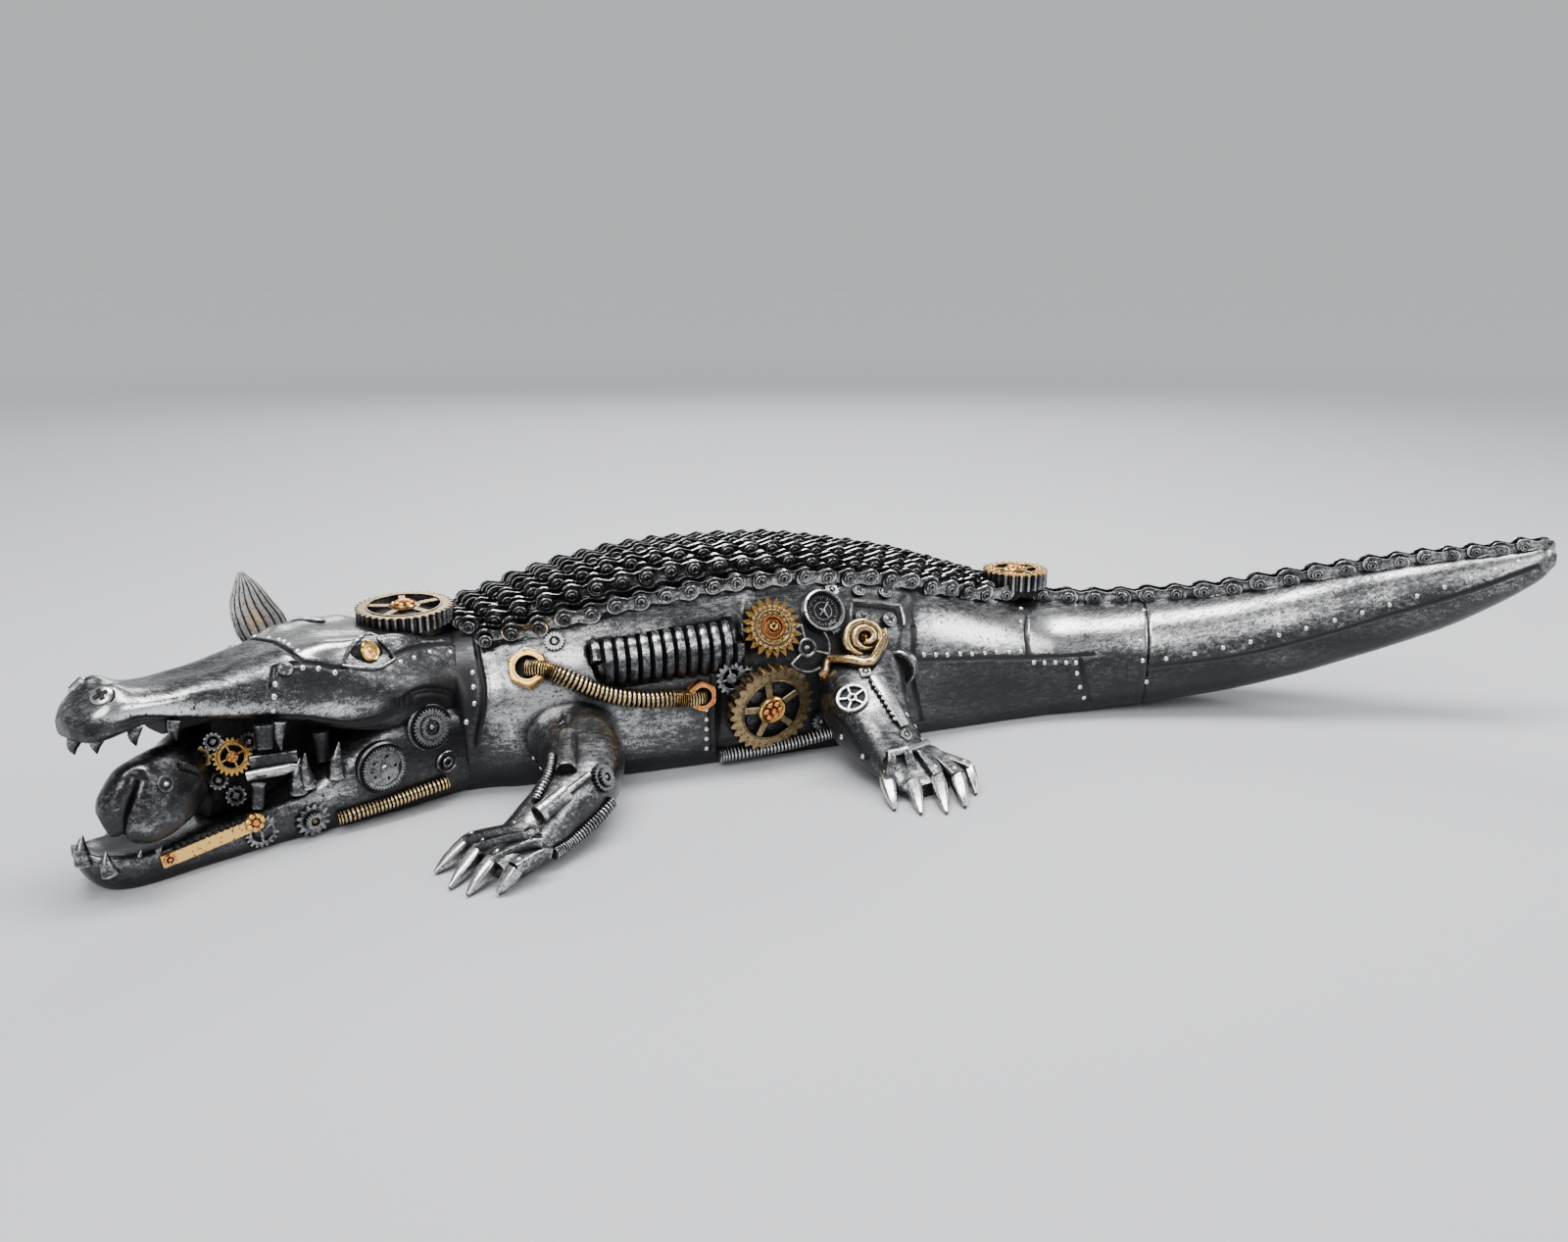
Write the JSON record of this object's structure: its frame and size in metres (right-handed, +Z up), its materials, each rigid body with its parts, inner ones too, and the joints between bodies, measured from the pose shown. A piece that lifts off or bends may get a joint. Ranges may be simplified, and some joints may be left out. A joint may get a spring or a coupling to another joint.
{
  "type": "crocodile figurine",
  "caption": "Long low crocodile ornament with moulded wheels, chains and hoses, resting on a flat belly, a fish gripped across its open jaws.",
  "frame": {"origin": "middle of the flat belly, on the surface the figurine stands on", "axes": "+X along the trunk toward the tail, so the head is at -X; +Y to the animal's right side; +Z up"},
  "size_m": [0.5672, 0.2386, 0.0831],
  "materials": {
    "antique_silver_resin": "cast resin, black ground dry-brushed with silver metallic paint, gold on the wheels, hoses and eyes",
    "gunmetal_resin": "cast resin, black ground thinly brushed with dark silver paint"
  },
  "bodies": {
    "root": {"crocodile": "antique_silver_resin", "fish": "gunmetal_resin"}
  },
  "joints": []
}
